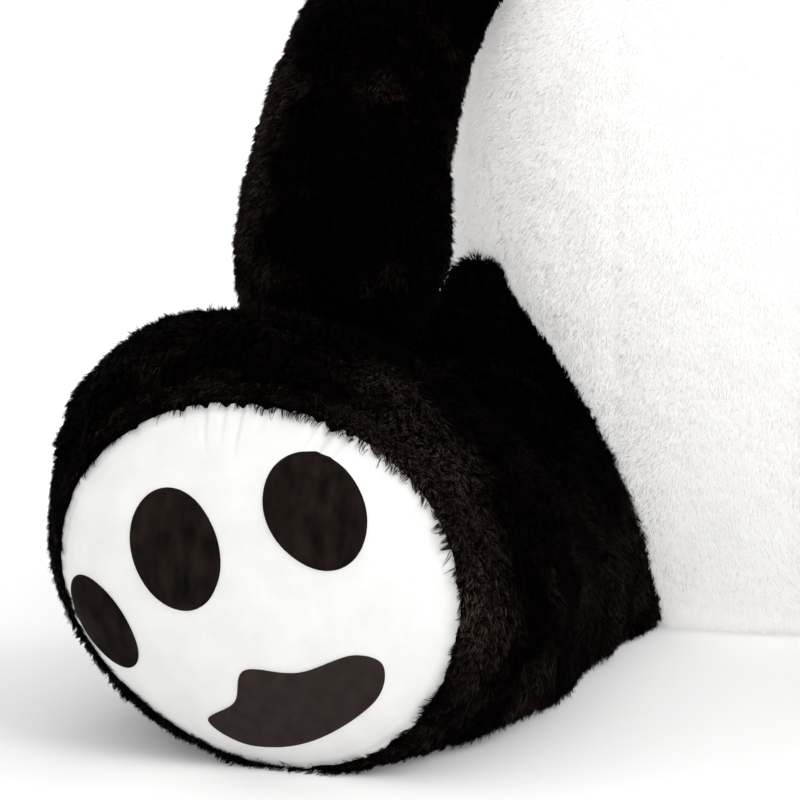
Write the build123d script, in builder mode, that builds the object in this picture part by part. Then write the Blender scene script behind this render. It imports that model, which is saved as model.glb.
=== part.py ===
from build123d import *
from math import atan2, cos, radians, sin, sqrt
import os

# A giant plush panda that sits on the floor with its legs forward, in millimetres.
# +Z is up, the panda faces -Y, and the origin is on the floor below the middle of its bounding box.
# The panda's right side lies towards -X. It is modelled there, and mirrored to make the left side.

# Fabric and fits
FABRIC = 4.0  # pile fabric with its backing
SLACK = 0.5  # room between a skin and its filling
INNER = FABRIC + SLACK  # how far a filling lies inside the skin's outer face
JOINT_ROOM = 1.5  # room between a limb's root and the socket it turns in
PATCH = 2.0  # sheared fabric of pads and eye patches
PATCH_ROOM = 0.3  # room under a patch

# Torso: (height, half width, half depth)
TORSO_Y = 205.0
TORSO_TOP = 760.0
TORSO_SECTIONS = [
    (0, 215, 165),
    (40, 262, 203),
    (150, 318, 238),
    (300, 336, 250),
    (450, 325, 242),
    (600, 270, 212),
    (700, 198, 170),
    (TORSO_TOP, 145, 130),
]
SEAT_HEIGHT = 34.0  # top edge of the seat panel
YOKE_HEIGHT = 640.0  # lower edge of the black shoulders
BELLY_HALF_WIDTH = 160.0  # from the front seam to a side seam
SIDE_SEAM_Y = TORSO_Y + 45

# Head: (height, half width, half depth)
HEAD_Y = 150.0
HEAD_SECTIONS = [
    (766, 150, 135),
    (800, 214, 182),
    (860, 248, 208),
    (940, 262, 218),
    (1020, 250, 208),
    (1090, 212, 178),
    (1145, 155, 132),
    (1180, 85, 74),
    (1190, 40, 35),
]
NECK_RADIUS = 105.0
NECK_DEPTH = 26.0  # how far the neck reaches down into the torso
GUSSET_HALF_WIDTH = 62.0
MUZZLE_CENTRE = (0, HEAD_Y - 205, 880)
MUZZLE_RADII = (104, 72, 78)
NOSE_RADII = (36, 23, 20)  # half width, half height, how far it stands out
NOSE_REACH = 72.6  # from the muzzle's middle to the flat back of the nose
NOSE_RISE = 26.0  # above the muzzle's middle
EYE_X = 98.0
EYE_HEIGHT = 990.0
EYE_RADIUS = 17.0
STEM_RADIUS = 3.0
WASHER_RADIUS = 13.0
WASHER_THICKNESS = 2.5
STEM_LENGTH = 20.0
EYE_STAND = 4.0  # from the head's surface to the flat back of an eye
EYE_PATCH_RADII = (42, 54)
EYE_PATCH_TURN = 32.0
MOUTH_WIDTH = 5.0

# Ears
EAR_ROOT = (-178, HEAD_Y + 12, 1136)
EAR_LEAN = 42.0  # degrees that an ear leans outward
EAR_RADIUS = 80.0
EAR_HALF_THICKNESS = 26.0
EAR_RISE = 44.0  # from the fold line up to the ear's middle

# Arms
SHOULDER = (-216.0, 168.0, 684.0)
SHOULDER_RADIUS = 86.0
DIMPLE_CENTRE = (-318.0, 168.0, 664.0)  # hollow in the torso's side beside the swinging arm
DIMPLE_RADIUS = 118.0
ARM_LINE = [
    SHOULDER,
    (-316, 146, 640),
    (-366, 76, 560),
    (-395, -2, 460),
    (-406, -62, 360),
    (-404, -98, 290),
    (-398, -112, 258),
]
ARM_RADII = [(0.0, 64), (0.16, 72), (0.35, 77), (0.55, 83), (0.74, 90), (0.88, 84), (0.96, 64), (1.0, 38)]

# Legs: oval sections (distance from the hip, shift to the inside, middle's height, half width,
# half height, tilt in degrees). They reach below the floor, and are cut flat where the leg lies.
HIP = (-290.0, 75.0)
HIP_RADIUS = 176.0
HIP_TOP = 342.0
LEG_SPLAY = 13.0  # degrees outward from straight ahead
LEG_SEAM_SHIFT = 7.0  # from the leg's middle to the seams, towards the inside
LEG_SECTIONS = [
    (40, 0, 84, 146, 190, 0),
    (110, 4, 72, 156, 194, 0),
    (190, 9, 66, 163, 182, 0),
    (262, 13, 68, 171, 180, 0),
    (330, 6, 98, 184, 184, -12),
    (400, -11, 140, 203, 183, -30),
    (455, -21, 153, 211, 182, -37),
    (508, -17, 154, 200, 172, -30),
    (555, 0, 145, 170, 147, -14),
]
SOLE_BULGE = 46.0
SOLE_STEPS = [(1.0, 0.0), (0.88, 0.42), (0.68, 0.74), (0.42, 0.93), (0.18, 1.0)]  # (size, share of bulge)
SOLE_DISTANCE, SOLE_SHIFT, SOLE_MIDDLE, SOLE_HALF_WIDTH, SOLE_HALF_HEIGHT, SOLE_TILT = LEG_SECTIONS[-1]

# Pads, seen from the front of the right sole: (x, height, half width, half height, turn)
TOE_PADS = {
    "outer_toe_pad": (-123, 109, 30, 41, 26),
    "middle_toe_pad": (-53, 178, 39, 48, 10),
    "inner_toe_pad": (60, 215, 39, 47, 22),
}
MAIN_PAD_OUTLINE = [(-29, 40), (-8, 60), (6, 84), (50, 86), (92, 104), (114, 98), (106, 66), (56, 34), (4, 26)]

# Tail
TAIL_PIVOT = (0, TORSO_Y + 224, 128)
TAIL_ROOT_RADIUS = 34.0
TAIL_RADIUS = 43.0
TAIL_REACH = 52.0


def finish(piece, name):
    """Labels a finished piece and writes its file."""
    piece.part.label = name
    export_step(piece.part, f"parts/{name}.step")


def finish_pair(piece, name):
    """Writes a piece of the panda's right side, and its mirror image on the left."""
    finish(piece, f"right_{name}")
    with BuildPart() as twin:
        add(piece.part.mirror(Plane.YZ))
    finish(twin, f"left_{name}")


def both_sides(shape):
    """A shape and its mirror image."""
    return [shape, shape.mirror(Plane.YZ)]


# Stuffed forms. Each is drawn in from its outer face by inset, so that it gives the skin's
# outer face, the skin's inner face and the filling; a negative inset gives the room around it.
def egg(sections, middle_y, inset):
    """Upright form lofted through ellipses."""
    lowest = sections[0][0] + inset
    highest = sections[-1][0] - inset
    with BuildPart() as form:
        for height, half_width, half_depth in sections:
            with BuildSketch(Plane.XY.offset(min(max(height, lowest), highest))):
                with Locations((0, middle_y)):
                    Ellipse(half_width - inset, half_depth - inset)
        loft()
    return form.part


def ellipsoid(centre, radii, inset=0.0):
    """Ball with a different radius along each axis."""
    with BuildPart() as form:
        Sphere(1)
        scale(by=tuple(radius - inset for radius in radii))
    return form.part.translate(centre)


def ball(centre, radius):
    """Plain ball."""
    with BuildPart() as form:
        Sphere(radius)
    return form.part.translate(centre)


def peg(plane, radius, length):
    """Round peg that starts on a plane and runs along its normal."""
    with BuildPart() as form:
        with BuildSketch(plane):
            Circle(radius)
        extrude(amount=length)
    return form.part


def hip_form(inset):
    """Upright dome, round about the hip's axis, that fills the hip and turns in its socket."""
    flank = [(1.0, 0.0), (0.96, 0.25), (0.86, 0.44), (0.67, 0.64), (0.43, 0.81), (0.17, 0.95), (0.0, 1.0)]
    points = [((HIP_RADIUS - inset) * across, (HIP_TOP - inset) * up) for across, up in flank]
    with BuildPart() as form:
        with BuildSketch(Plane.XZ):
            with BuildLine():
                Spline(points, tangents=[(0, 1), (-1, 0)])
                Polyline(points[-1], (0, 0), points[0])
            make_face()
        revolve(axis=Axis.Z)
        if inset > 0:
            split(bisect_by=Plane.XY.offset(inset), keep=Keep.TOP)
    return form.part.translate((*HIP, 0))


def leg_plane(distance):
    """Upright plane across the right leg, with x towards the panda's middle and y up."""
    splay = radians(LEG_SPLAY)
    forward = Vector(-sin(splay), -cos(splay), 0)
    origin = Vector(*HIP, 0) + forward * distance
    return Plane(origin=origin, x_dir=(cos(splay), -sin(splay), 0), z_dir=forward)


def leg_form(inset):
    """Hip, thigh, shin and foot up to the sole's seam, flat where they lie on the floor."""
    hip = hip_form(inset)
    with BuildPart() as form:
        for distance, shift, middle_height, half_width, half_height, tilt in LEG_SECTIONS:
            with BuildSketch(leg_plane(distance)):
                with Locations(Location((shift, middle_height), tilt)):
                    Ellipse(half_width - inset, half_height - inset)
        loft()
        split(bisect_by=Plane.XY.offset(inset), keep=Keep.TOP)
        add(hip)
    return form.part


def sole_form(inset):
    """The stuffed bulge of the sole, forward of its seam."""
    with BuildPart() as form:
        for size, share in SOLE_STEPS:
            with BuildSketch(leg_plane(SOLE_DISTANCE + share * (SOLE_BULGE - inset))):
                with Locations(Location((SOLE_SHIFT, SOLE_MIDDLE), SOLE_TILT)):
                    Ellipse(size * (SOLE_HALF_WIDTH - inset), size * (SOLE_HALF_HEIGHT - inset))
        loft()
        split(bisect_by=Plane.XY.offset(max(inset, 0)), keep=Keep.TOP)
    return form.part


def arm_form(inset):
    """Round shoulder and the arm, which hangs forward until its paw rests above the leg."""
    with BuildLine():
        path = Spline(*ARM_LINE)
    reach = 1 - inset / path.length
    with BuildPart() as form:
        for share, radius in ARM_RADII:
            along = path % share
            with BuildSketch(Plane(origin=path @ (share * reach), x_dir=along.cross(Vector(1, 0, 0)), z_dir=along)):
                Circle(radius - inset)
        loft()
        with Locations(SHOULDER):
            Sphere(SHOULDER_RADIUS - inset)
    return form.part


def head_form(inset):
    """The head with the short neck that turns in the torso."""
    skull = egg(HEAD_SECTIONS, HEAD_Y, inset)
    neck_bottom = TORSO_TOP - NECK_DEPTH + inset
    with BuildPart() as form:
        add(skull)
        with BuildSketch(Plane.XY.offset(neck_bottom)):
            with Locations((0, HEAD_Y)):
                Circle(NECK_RADIUS - inset)
        extrude(amount=HEAD_SECTIONS[1][0] - neck_bottom)
    return form.part


def ear_root(inset):
    """Spindle-shaped root of the right ear, round about the line that the ear folds on."""
    narrowing = sqrt(1 - (EAR_RISE / EAR_RADIUS) ** 2)
    thickness = EAR_HALF_THICKNESS * narrowing
    root = ellipsoid((0, 0, 0), (EAR_RADIUS * narrowing, thickness, thickness), inset)
    return root.rotate(Axis.Y, -EAR_LEAN).translate(EAR_ROOT)


def ear_form(inset):
    """Puffy round ear above its fold line, and the root below it."""
    with BuildPart() as flap:
        add(ellipsoid((0, 0, EAR_RISE), (EAR_RADIUS, EAR_HALF_THICKNESS, EAR_RADIUS), inset))
        split(bisect_by=Plane.XY, keep=Keep.TOP)
    root = ear_root(inset)
    with BuildPart() as form:
        add(flap.part.rotate(Axis.Y, -EAR_LEAN).translate(EAR_ROOT))
        add(root)
    return form.part


def tail_form(inset):
    """Short round tail on a ball root."""
    with BuildPart() as form:
        with Locations(TAIL_PIVOT):
            Sphere(TAIL_ROOT_RADIUS - inset)
        with Locations((0, TAIL_PIVOT[1] + TAIL_REACH, TAIL_PIVOT[2])):
            Sphere(TAIL_RADIUS - inset)
    return form.part


def hollow(outer, inner):
    """The skin between an outer form and an inner one."""
    with BuildPart() as skin:
        add(outer)
        add(inner, mode=Mode.SUBTRACT)
    return skin.part


def panel(skin, *cuts):
    """The part of a skin on the kept side of each cut."""
    with BuildPart() as piece:
        add(skin)
        for plane, side in cuts:
            split(bisect_by=plane, keep=side)
    return piece


def patch(sheet, outline, plane, depth):
    """The piece of a thin sheet that lies in front of an outline drawn on a plane."""
    with BuildPart() as piece:
        with BuildSketch(plane):
            add(outline)
        extrude(amount=depth)
        add(sheet, mode=Mode.INTERSECT)
    return piece


def button(plane, radii):
    """Domed eye or nose with a flat back and the stem that goes through the fabric."""
    with BuildPart() as form:
        Sphere(1)
        scale(by=radii)
        split(bisect_by=Plane.XY, keep=Keep.TOP)
        Cylinder(STEM_RADIUS, STEM_LENGTH, align=(Align.CENTER, Align.CENTER, Align.MAX))
    with BuildPart() as placed:
        add(form.part.moved(plane.location))
    return placed


def washer(plane):
    """Locking washer on the inner end of a stem."""
    with BuildPart() as piece:
        with BuildSketch(plane.offset(-STEM_LENGTH + 1)):
            Circle(WASHER_RADIUS)
            Circle(STEM_RADIUS, mode=Mode.SUBTRACT)
        extrude(amount=WASHER_THICKNESS)
    return piece


def eye_plane(stand):
    """Plane that faces outward at the right eye, standing off the head's surface."""
    _, half_width, half_depth = HEAD_SECTIONS[3]
    depth = half_depth * sqrt(1 - (EYE_X / half_width) ** 2)
    turn = atan2(half_depth**2 * EYE_X, half_width**2 * depth)
    on_head = Plane(
        origin=(-EYE_X, HEAD_Y - depth, EYE_HEIGHT),
        x_dir=(cos(turn), -sin(turn), 0),
        z_dir=(-sin(turn), -cos(turn), 0.1),
    )
    return on_head.offset(stand)


os.makedirs("parts", exist_ok=True)

BEYOND = Keep.TOP  # the side that a cut's normal points to
BEFORE = Keep.BOTTOM
middle = Plane.YZ
side_seam = Plane(origin=(0, SIDE_SEAM_Y, 0), z_dir=(0, 1, 0))
belly_seam = Plane(origin=(-BELLY_HALF_WIDTH, 0, 0), z_dir=(1, 0, 0))
yoke_seam = Plane.XY.offset(YOKE_HEIGHT)
seat_seam = Plane.XY.offset(SEAT_HEIGHT)

# Torso. The sockets for the limbs, the neck and the tail go through its skin and filling.
neck_room = peg(
    Plane(origin=(0, HEAD_Y, TORSO_TOP - NECK_DEPTH - JOINT_ROOM), z_dir=(0, 0, 1)),
    NECK_RADIUS + JOINT_ROOM,
    2 * NECK_DEPTH,
)
sockets = [
    *both_sides(hip_form(-JOINT_ROOM)),
    *both_sides(ball(SHOULDER, SHOULDER_RADIUS + JOINT_ROOM)),
    *both_sides(ball(DIMPLE_CENTRE, DIMPLE_RADIUS)),
    ball(TAIL_PIVOT, TAIL_ROOT_RADIUS + JOINT_ROOM),
    neck_room,
]
torso_shell = hollow(egg(TORSO_SECTIONS, TORSO_Y, 0), egg(TORSO_SECTIONS, TORSO_Y, FABRIC))
torso_core = egg(TORSO_SECTIONS, TORSO_Y, INNER)

with BuildPart() as torso_skin:
    add(torso_shell)
    add(sockets, mode=Mode.SUBTRACT)

with BuildPart() as torso_filling:
    add(torso_core)
    add(sockets, mode=Mode.SUBTRACT)
finish(torso_filling, "torso_filling")

below_yoke = [(seat_seam, BEYOND), (yoke_seam, BEFORE)]
finish(panel(torso_skin.part, (seat_seam, BEFORE)), "seat_panel")
finish(panel(torso_skin.part, (yoke_seam, BEYOND), (side_seam, BEFORE)), "front_shoulder_yoke")
finish(panel(torso_skin.part, (yoke_seam, BEYOND), (side_seam, BEYOND)), "back_shoulder_yoke")
belly_cuts = [*below_yoke, (side_seam, BEFORE), (belly_seam, BEYOND), (middle, BEFORE)]
finish_pair(panel(torso_skin.part, *belly_cuts), "belly_panel")
side_cuts = [*below_yoke, (side_seam, BEFORE), (belly_seam, BEFORE)]
finish_pair(panel(torso_skin.part, *side_cuts), "side_panel")
back_cuts = [*below_yoke, (side_seam, BEYOND), (middle, BEFORE)]
finish_pair(panel(torso_skin.part, *back_cuts), "back_panel")

# Head: a gusset over the face between two cheeks, and the back in two halves.
head_core = head_form(INNER)
head_shell = hollow(head_form(0), head_form(FABRIC))
ear_rooms = both_sides(ear_root(-JOINT_ROOM))
stem_room = STEM_RADIUS + 0.2
eye_stem_rooms = both_sides(peg(eye_plane(-STEM_LENGTH), stem_room, STEM_LENGTH + EYE_STAND))
eye_washer_rooms = both_sides(peg(eye_plane(-STEM_LENGTH), WASHER_RADIUS + 1, STEM_LENGTH - INNER + 1))

with BuildPart() as head_skin:
    add(head_shell)
    add([*ear_rooms, *eye_stem_rooms], mode=Mode.SUBTRACT)

with BuildPart() as head_filling:
    add(head_core)
    add([*ear_rooms, *eye_stem_rooms, *eye_washer_rooms], mode=Mode.SUBTRACT)
finish(head_filling, "head_filling")

head_seam = Plane(origin=(0, HEAD_Y + 20, 0), z_dir=(0, 1, 0))
gusset_seam = Plane(origin=(-GUSSET_HALF_WIDTH, 0, 0), z_dir=(1, 0, 0))
gusset_twin = Plane(origin=(GUSSET_HALF_WIDTH, 0, 0), z_dir=(1, 0, 0))
gusset_cuts = [(head_seam, BEFORE), (gusset_seam, BEYOND), (gusset_twin, BEFORE)]
finish(panel(head_skin.part, *gusset_cuts), "face_gusset")
finish_pair(panel(head_skin.part, (head_seam, BEFORE), (gusset_seam, BEFORE)), "cheek_panel")
finish_pair(panel(head_skin.part, (head_seam, BEYOND), (middle, BEFORE)), "head_back_panel")

# Muzzle, sewn onto the front of the face.
nose_back = Plane(
    origin=(0, MUZZLE_CENTRE[1] - NOSE_REACH, MUZZLE_CENTRE[2] + NOSE_RISE), x_dir=(1, 0, 0), z_dir=(0, -1, 0)
)
nose_stem_room = peg(nose_back.offset(-STEM_LENGTH - 1), stem_room, STEM_LENGTH + 1)
nose_washer_room = peg(nose_back.offset(-STEM_LENGTH - 1), WASHER_RADIUS + 1, STEM_LENGTH - INNER)
behind_muzzle = head_form(-PATCH_ROOM)
muzzle_shell = hollow(ellipsoid(MUZZLE_CENTRE, MUZZLE_RADII), ellipsoid(MUZZLE_CENTRE, MUZZLE_RADII, FABRIC))
muzzle_core = ellipsoid(MUZZLE_CENTRE, MUZZLE_RADII, INNER)

with BuildPart() as muzzle_panel:
    add(muzzle_shell)
    add([behind_muzzle, nose_stem_room], mode=Mode.SUBTRACT)
finish(muzzle_panel, "muzzle_panel")

with BuildPart() as muzzle_filling:
    add(muzzle_core)
    add([behind_muzzle, nose_stem_room, nose_washer_room], mode=Mode.SUBTRACT)
finish(muzzle_filling, "muzzle_filling")

finish(button(nose_back, NOSE_RADII), "nose")
finish(washer(nose_back), "nose_washer")

# Mouth: a seam down from the nose that parts into two smiling arcs, embroidered on the muzzle.
mouth_sheet = hollow(
    ellipsoid(MUZZLE_CENTRE, MUZZLE_RADII, -PATCH - PATCH_ROOM), ellipsoid(MUZZLE_CENTRE, MUZZLE_RADII, -PATCH_ROOM)
)
mouth_front = Plane(origin=MUZZLE_CENTRE, x_dir=(1, 0, 0), z_dir=(0, -1, 0))
with BuildSketch() as mouth_outline:
    with BuildLine():
        lip = Line((0, 2), (0, -26))
        for way in (-1, 1):
            ThreePointArc(lip @ 1, (way * 22, -38), (way * 42, -24))
    trace(line_width=MOUTH_WIDTH)
finish(patch(mouth_sheet, mouth_outline.sketch, mouth_front, 2 * MUZZLE_RADII[1]), "mouth_stitch")

# Eyes on dark patches.
patch_sheet = hollow(egg(HEAD_SECTIONS, HEAD_Y, -PATCH - PATCH_ROOM), egg(HEAD_SECTIONS, HEAD_Y, -PATCH_ROOM))
with BuildSketch() as eye_patch_outline:
    with Locations(Location((-6, -12), -EYE_PATCH_TURN)):
        Ellipse(*EYE_PATCH_RADII)
    Circle(stem_room, mode=Mode.SUBTRACT)
finish_pair(patch(patch_sheet, eye_patch_outline.sketch, eye_plane(-STEM_LENGTH * 2), STEM_LENGTH * 3), "eye_patch")
finish_pair(button(eye_plane(EYE_STAND), (EYE_RADIUS, EYE_RADIUS, 0.6 * EYE_RADIUS)), "eye")
finish_pair(washer(eye_plane(EYE_STAND)), "eye_washer")

# Ears: a front and a back sewn around a thin filling.
ear_skin = hollow(ear_form(0), ear_form(FABRIC))
ear_seam = Plane(origin=EAR_ROOT, z_dir=(0, 1, 0))
finish_pair(panel(ear_skin, (ear_seam, BEFORE)), "ear_front")
finish_pair(panel(ear_skin, (ear_seam, BEYOND)), "ear_back")
with BuildPart() as ear_filling:
    add(ear_form(INNER))
finish_pair(ear_filling, "ear_filling")

# Arms: a front and a back panel with seams down the inside and the outside.
arm_skin = hollow(arm_form(0), arm_form(FABRIC))
arm_slope = Vector(*ARM_LINE[-1]) - Vector(*SHOULDER)
arm_seam = Plane(origin=SHOULDER, z_dir=Vector(1, 0, 0).cross(arm_slope))
finish_pair(panel(arm_skin, (arm_seam, BEYOND)), "arm_back_panel")
finish_pair(panel(arm_skin, (arm_seam, BEFORE)), "arm_front_panel")
with BuildPart() as arm_filling:
    add(arm_form(INNER))
finish_pair(arm_filling, "arm_filling")

# Legs: an inner and an outer panel with seams along the top and the bottom, closed by the sole.
leg_skin = hollow(leg_form(0), leg_form(FABRIC))
leg_seam = Plane(origin=(*HIP, 0), z_dir=leg_plane(0).x_dir).offset(LEG_SEAM_SHIFT)
finish_pair(panel(leg_skin, (leg_seam, BEYOND)), "leg_inner_panel")
finish_pair(panel(leg_skin, (leg_seam, BEFORE)), "leg_outer_panel")
with BuildPart() as sole:
    add(hollow(sole_form(0), sole_form(FABRIC)))
finish_pair(sole, "sole")
leg_core = leg_form(INNER)
sole_core = sole_form(INNER)
with BuildPart() as leg_filling:
    add([leg_core, sole_core])
finish_pair(leg_filling, "leg_filling")

# Pads of sheared fabric on the sole: three toes and the large pad below them.
pad_sheet = hollow(sole_form(-PATCH - PATCH_ROOM), sole_form(-PATCH_ROOM))
for pad_name, (x, height, half_width, half_height, turn) in TOE_PADS.items():
    with BuildSketch() as toe_outline:
        with Locations(Location((x, height), turn)):
            Ellipse(half_width, half_height)
    finish_pair(patch(pad_sheet, toe_outline.sketch, leg_plane(SOLE_DISTANCE), 2 * SOLE_BULGE), pad_name)
with BuildSketch() as main_outline:
    with BuildLine():
        Spline(*MAIN_PAD_OUTLINE, periodic=True)
    make_face()
finish_pair(patch(pad_sheet, main_outline.sketch, leg_plane(SOLE_DISTANCE), 2 * SOLE_BULGE), "main_pad")

# Tail: one gathered skin around a small filling.
with BuildPart() as tail_skin:
    add(hollow(tail_form(0), tail_form(FABRIC)))
finish(tail_skin, "tail_skin")
with BuildPart() as tail_filling:
    add(tail_form(INNER))
finish(tail_filling, "tail_filling")
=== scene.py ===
"""Looks of a giant plush panda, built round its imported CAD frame. All lengths are in metres."""
import math

import bmesh
import bpy
import numpy as np
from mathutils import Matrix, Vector


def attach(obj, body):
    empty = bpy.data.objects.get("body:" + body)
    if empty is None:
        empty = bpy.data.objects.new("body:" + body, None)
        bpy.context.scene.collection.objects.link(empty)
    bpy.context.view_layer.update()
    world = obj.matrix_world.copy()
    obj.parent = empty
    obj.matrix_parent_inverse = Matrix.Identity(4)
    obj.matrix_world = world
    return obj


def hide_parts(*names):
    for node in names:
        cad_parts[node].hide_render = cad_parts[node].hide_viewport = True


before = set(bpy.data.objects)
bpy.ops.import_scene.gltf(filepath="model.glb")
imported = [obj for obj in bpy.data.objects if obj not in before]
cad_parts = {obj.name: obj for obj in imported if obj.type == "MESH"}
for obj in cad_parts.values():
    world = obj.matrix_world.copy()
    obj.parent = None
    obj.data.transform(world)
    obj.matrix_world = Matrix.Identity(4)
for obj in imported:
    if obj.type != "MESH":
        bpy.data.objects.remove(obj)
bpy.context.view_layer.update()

# Camera
CAMERA_PLACE = (0.0, -3.165, 0.75)
CAMERA_LOOK = (-0.1123, 1.0, -0.1684)
CAMERA_LENS = 160.3  # mm, on a sensor 36 mm wide

# Fabric and pile
VOXEL = 0.0065
SMALL_VOXEL = 0.004  # for the muzzle, tail and ears
CLOTH_FRAMES = 20
CLOTH_PRESSURE = 4.0
FLOOR_CLEARANCE = 0.0006
SKIN_RISE = 0.001  # how far a skin stands off its filling
BLACK_PILE = 0.0095  # length of the black fibres
WHITE_PILE = 0.0075
SEAM_WIDTH = 0.0045
SEAM_DEPTH = 0.0022
LUMPS = 0.0016  # height of the stuffing's lumps
SMALL_LUMPS = 0.0008  # on the muzzle, tail and ears
LUMP_SIZE = 0.085
SMALL_LUMP_SIZE = 0.03
NAP_SIZE = 0.006
NAP_HEIGHT = 0.0005
PUCKER_SIZE = 0.012
PUCKER_REACH = 0.016  # how far from a seam its puckers run
PUCKER_HEIGHT = 0.0012
FIBRE_STRAY = 0.22  # how far single fibres point off the way they are combed
FIBRE_LENGTHS = (0.72, 1.1)  # shortest and longest, as shares of the pile's length
COMB_SWIRL = 0.35
SWIRL_SIZE = 0.03
RUFFLE_SIZE = 0.022  # patches of longer and shorter pile
STAND_SIZE = 0.012  # patches of more and less upright pile
FIBRE_ARCH = 0.16  # how far a fibre's middle stands out, as a share of its length
FIBRE_TAPER = (1.0, 0.8, 0.15)  # thickness at the root, the middle and the tip
ROOT_DEPTH = 0.001

# Torso seams
BELLY_SEAM_X = 0.160
SIDE_SEAM_Y = 0.250
YOKE_HEIGHT = 0.640
SEAT_HEIGHT = 0.034

# Head
GUSSET_SEAM_X = 0.062
HEAD_SEAM_Y = 0.170
MUZZLE_CENTRE = (0.0, -0.055, 0.880)
EAR_ROOT = (-0.178, 0.162, 1.136)

# Right arm: from the shoulder to the tip of the paw
SHOULDER = (-0.216, 0.168, 0.684)
PAW_TIP = (-0.398, -0.112, 0.258)
THIGH_TOUCH_HEIGHT = 0.350
THIGH_TOUCH_REACH = 0.060
ARM_FULLNESS = 0.011  # how far the arm swells towards the thigh
ARM_TUCK = 0.003  # how far its outer side is drawn in

# Right leg: it lies on the floor from the hip forward, splayed outward
HIP = np.array((-0.290, 0.075, 0.0))
LEG_SPLAY = math.radians(13)
LEG_FORWARD = np.array((-math.sin(LEG_SPLAY), -math.cos(LEG_SPLAY), 0.0))
LEG_ACROSS = np.array((math.cos(LEG_SPLAY), -math.sin(LEG_SPLAY), 0.0))
LEG_SEAM_SHIFT = 0.007

# Sole: an oval dome in front of the leg
SOLE_DISTANCE = 0.555
SOLE_MIDDLE = (0.000, 0.145)
SOLE_RADII = (0.170, 0.147)
SOLE_TILT = math.radians(-14)
SOLE_CENTRE = HIP + LEG_FORWARD * SOLE_DISTANCE + LEG_ACROSS * SOLE_MIDDLE[0] + (0, 0, SOLE_MIDDLE[1])
SOLE_BULGE = 0.046
SOLE_RIM = 0.985  # the cloth's edge, as a share of the sole's radius
SOLE_SINK = 0.0006
DOME_SIZES = (0.0, 0.18, 0.42, 0.68, 0.88, 1.0)
DOME_RISES = (1.01, 1.0, 0.93, 0.74, 0.42, 0.0)
PAD_THICKNESS = 0.0032
MAIN_PAD_CENTRE = (0.050, 0.062)
# Hand-sewn unevenness of the foot: (angle round the sole in degrees, half angle, share of the radius)
SOLE_TRIMS = ((222, 28, -0.048), (160, 25, 0.018), (256, 32, -0.028), (305, 28, 0.012), (32, 30, 0.034))
FOOT_TRIMS = ((162, 17, -0.045), (190, 30, -0.020), (225, 28, -0.040))
# How the leg spreads on the floor at its inner side: (distance along the leg, half length, how far)
FLOOR_SPREADS = ((0.125, 0.05, 0.020), (0.42, 0.08, 0.023), (0.24, 0.04, -0.005))
THIGH_SINK = 0.006  # how far the top of the thigh is pressed down under the paw
SEAM_ROLL = 0.0048  # how far the leg's edge rolls out just behind the sole
SEAM_TUCK = 0.006  # how far the leg's closed end is drawn in behind the sole
# Toe pads on the sole: (x, height, half width, half height, turn in degrees)
TOE_PADS = {
    "outer_toe_pad": (-0.1243, 0.1112, 0.0255, 0.0425, 34),
    "middle_toe_pad": (-0.0525, 0.179, 0.0375, 0.0485, 19),
    "inner_toe_pad": (0.0590, 0.2145, 0.0355, 0.0475, 34),
}
MAIN_PAD_OUTLINE = (
    (-0.034, 0.036), (-0.006, 0.058), (0.005, 0.087), (0.050, 0.0905), (0.092, 0.106),
    (0.1145, 0.098), (0.1045, 0.067), (0.052, 0.031), (0.000, 0.0195),
)


# ---------------------------------------------------------------- plain helpers
def unit(rows):
    """Rows of vectors at length one."""
    return rows / np.maximum(np.linalg.norm(rows, axis=-1, keepdims=True), 1e-9)


def ramp(value, start, end):
    """Smooth rise from 0 at start to 1 at end."""
    share = np.clip((value - start) / (end - start), 0.0, 1.0)
    return share * share * (3 - 2 * share)


def hump(value, middle, half_width):
    """A smooth bell from 0 to 1, highest at its middle."""
    return np.exp(-(((value - middle) / half_width) ** 2))


def lattice(cells, seed):
    """A repeatable value from -1 to 1 for each whole-numbered cell."""
    mixed = cells[..., 0] * 73856093 ^ cells[..., 1] * 19349663 ^ cells[..., 2] * 83492791 ^ seed * 2654435761
    mixed = (mixed ^ (mixed >> 13)) * 1274126177 & 0x7FFFFFFF
    mixed = (mixed ^ (mixed >> 15)) & 0xFFFF
    return mixed / 32767.5 - 1.0


def grain(points, size, seed):
    """Smooth noise from -1 to 1 whose lumps are about size across."""
    scaled = points / size
    cell = np.floor(scaled).astype(np.int64)
    share = scaled - cell
    share = share * share * (3 - 2 * share)
    total = np.zeros(len(points))
    for corner in range(8):
        step = np.array((corner & 1, corner >> 1 & 1, corner >> 2))
        weight = np.prod(np.where(step, share, 1 - share), axis=1)
        total += weight * lattice(cell + step, seed)
    return total


def coordinates(mesh):
    """A mesh's vertices as rows."""
    flat = np.empty(len(mesh.vertices) * 3, np.float32)
    mesh.vertices.foreach_get("co", flat)
    return flat.reshape(-1, 3).astype(float)


def normals(mesh):
    """A mesh's vertex normals as rows."""
    flat = np.empty(len(mesh.vertices) * 3, np.float32)
    mesh.vertex_normals.foreach_get("vector", flat)
    return flat.reshape(-1, 3).astype(float)


def set_coordinates(mesh, points):
    """Moves a mesh's vertices."""
    mesh.vertices.foreach_set("co", points.astype(np.float32).ravel())
    mesh.update()


def mesh_piece(name, points, faces, material):
    """A new smooth mesh object."""
    mesh = bpy.data.meshes.new(name)
    mesh.from_pydata([tuple(p) for p in points], [], faces)
    mesh.materials.append(material)
    mesh.shade_smooth()
    piece = bpy.data.objects.new(name, mesh)
    bpy.context.scene.collection.objects.link(piece)
    return piece


def settle(piece):
    """Puts the result of a piece's modifiers into its mesh."""
    graph = bpy.context.evaluated_depsgraph_get()
    fresh = bpy.data.meshes.new_from_object(piece.evaluated_get(graph))
    piece.modifiers.clear()
    old = piece.data
    piece.data = fresh
    bpy.data.meshes.remove(old)


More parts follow.
